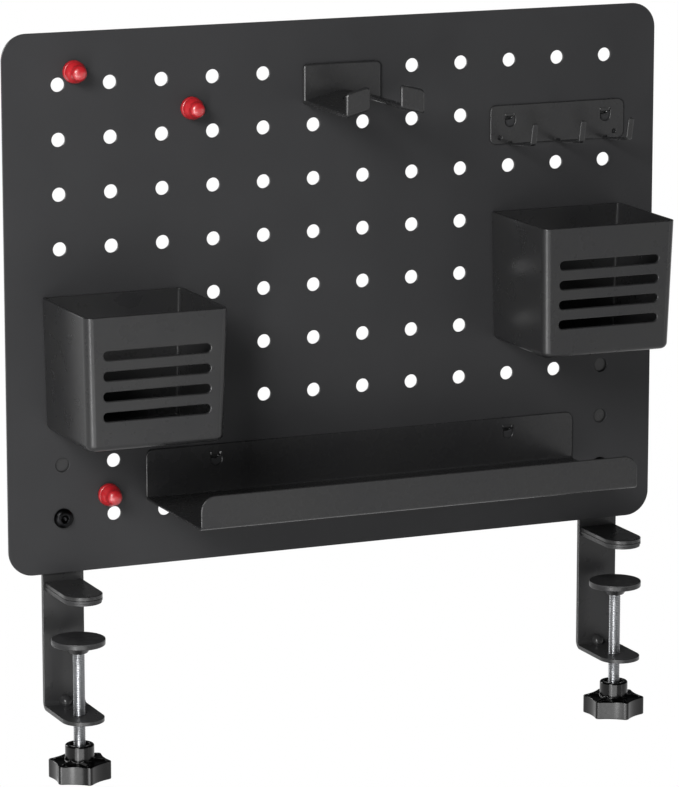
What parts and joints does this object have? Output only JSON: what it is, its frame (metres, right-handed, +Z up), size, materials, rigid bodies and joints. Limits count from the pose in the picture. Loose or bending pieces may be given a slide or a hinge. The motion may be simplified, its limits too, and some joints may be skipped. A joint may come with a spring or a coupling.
{
  "type": "pegboard desk organizer",
  "caption": "Desk-edge pegboard on two screw clamps, carrying slotted bins, a tray, a headphone hook, a key rail and magnetic push pins.",
  "frame": {"origin": "midway between the two clamps, where the plane of the desk top (undersides of the jaw pads) meets the plane of the desk's rear edge (front faces of the clamp strips)", "axes": "+X to the right along the desk edge as the user faces the board, +Y back away from the user through the board, +Z up"},
  "size_m": [0.5, 0.1206, 0.5229],
  "materials": {
    "board_black": "matte black powder coat",
    "clamp_black": "satin black powder coat",
    "accessory_black": "matte black powder coat",
    "bin_black": "matte moulded black plastic",
    "rubber_black": "smooth black rubber",
    "zinc_steel": "bright zinc plated thread",
    "black_steel": "black oxide",
    "knob_black": "glossy moulded black plastic",
    "pin_red": "glossy moulded red plastic",
    "magnet_nickel": "nickel plated"
  },
  "bodies": {
    "frame": {"peg_board": "board_black", "bracket_screws": "black_steel", "bracket_washers": "zinc_steel", "bracket_nuts": "zinc_steel", "clamp_bracket_left": "clamp_black", "upper_jaw_left": "clamp_black", "jaw_pad_left": "rubber_black", "clamp_bracket_right": "clamp_black", "upper_jaw_right": "clamp_black", "jaw_pad_right": "rubber_black"},
    "foot_left": {"foot_disc_left": "clamp_black", "foot_pad_left": "rubber_black"},
    "screw_left": {"clamp_screw_left": "zinc_steel", "clamp_knob_left": "knob_black"},
    "foot_right": {"foot_disc_right": "clamp_black", "foot_pad_right": "rubber_black"},
    "screw_right": {"clamp_screw_right": "zinc_steel", "clamp_knob_right": "knob_black"},
    "bin_left": {"bin_left": "bin_black"},
    "bin_right": {"bin_right": "bin_black"},
    "tray": {"tray": "accessory_black"},
    "key_rail": {"key_rail": "accessory_black"},
    "headphone_hook": {"headphone_hook": "accessory_black", "headphone_hook_tabs": "accessory_black"},
    "pin_1": {"push_pin_1": "pin_red", "pin_magnet_1": "magnet_nickel"},
    "pin_2": {"push_pin_2": "pin_red", "pin_magnet_2": "magnet_nickel"},
    "pin_3": {"push_pin_3": "pin_red", "pin_magnet_3": "magnet_nickel"}
  },
  "joints": [
    {"name": "foot_left_travel", "type": "slide", "parent": "frame", "child": "foot_left", "axis": [0, 0, 1], "range_m": [-0.044, 0.0183]},
    {"name": "screw_left_turn", "type": "hinge", "parent": "foot_left", "child": "screw_left", "pos_m": [-0.20955, -0.0295, -0.06], "axis": [0, 0, 1], "range_deg": [-12673, 5271]},
    {"name": "foot_right_travel", "type": "slide", "parent": "frame", "child": "foot_right", "axis": [0, 0, 1], "range_m": [-0.044, 0.0183]},
    {"name": "screw_right_turn", "type": "hinge", "parent": "foot_right", "child": "screw_right", "pos_m": [0.20955, -0.0295, -0.06], "axis": [0, 0, 1], "range_deg": [-12673, 5271]},
    {"name": "bin_left_lift", "type": "slide", "parent": "frame", "child": "bin_left", "axis": [0, 0, 1], "range_m": [0, 0.0047]},
    {"name": "bin_right_lift", "type": "slide", "parent": "frame", "child": "bin_right", "axis": [0, 0, 1], "range_m": [0, 0.0047]},
    {"name": "tray_lift", "type": "slide", "parent": "frame", "child": "tray", "axis": [0, 0, 1], "range_m": [0, 0.0052]},
    {"name": "key_rail_lift", "type": "slide", "parent": "frame", "child": "key_rail", "axis": [0, 0, 1], "range_m": [0, 0.0052]},
    {"name": "headphone_hook_lift", "type": "slide", "parent": "frame", "child": "headphone_hook", "axis": [0, 0, 1], "range_m": [0, 0.0047]},
    {"name": "pin_1_pull", "type": "slide", "parent": "frame", "child": "pin_1", "axis": [0, -1, 0], "range_m": [0, 0.03]},
    {"name": "pin_2_pull", "type": "slide", "parent": "frame", "child": "pin_2", "axis": [0, -1, 0], "range_m": [0, 0.03]},
    {"name": "pin_3_pull", "type": "slide", "parent": "frame", "child": "pin_3", "axis": [0, -1, 0], "range_m": [0, 0.03]}
  ],
  "couplings": [
    {"joint": "screw_left_turn", "follows": "foot_left_travel", "rad_per_m": 5026.5},
    {"joint": "screw_right_turn", "follows": "foot_right_travel", "rad_per_m": 5026.5}
  ]
}
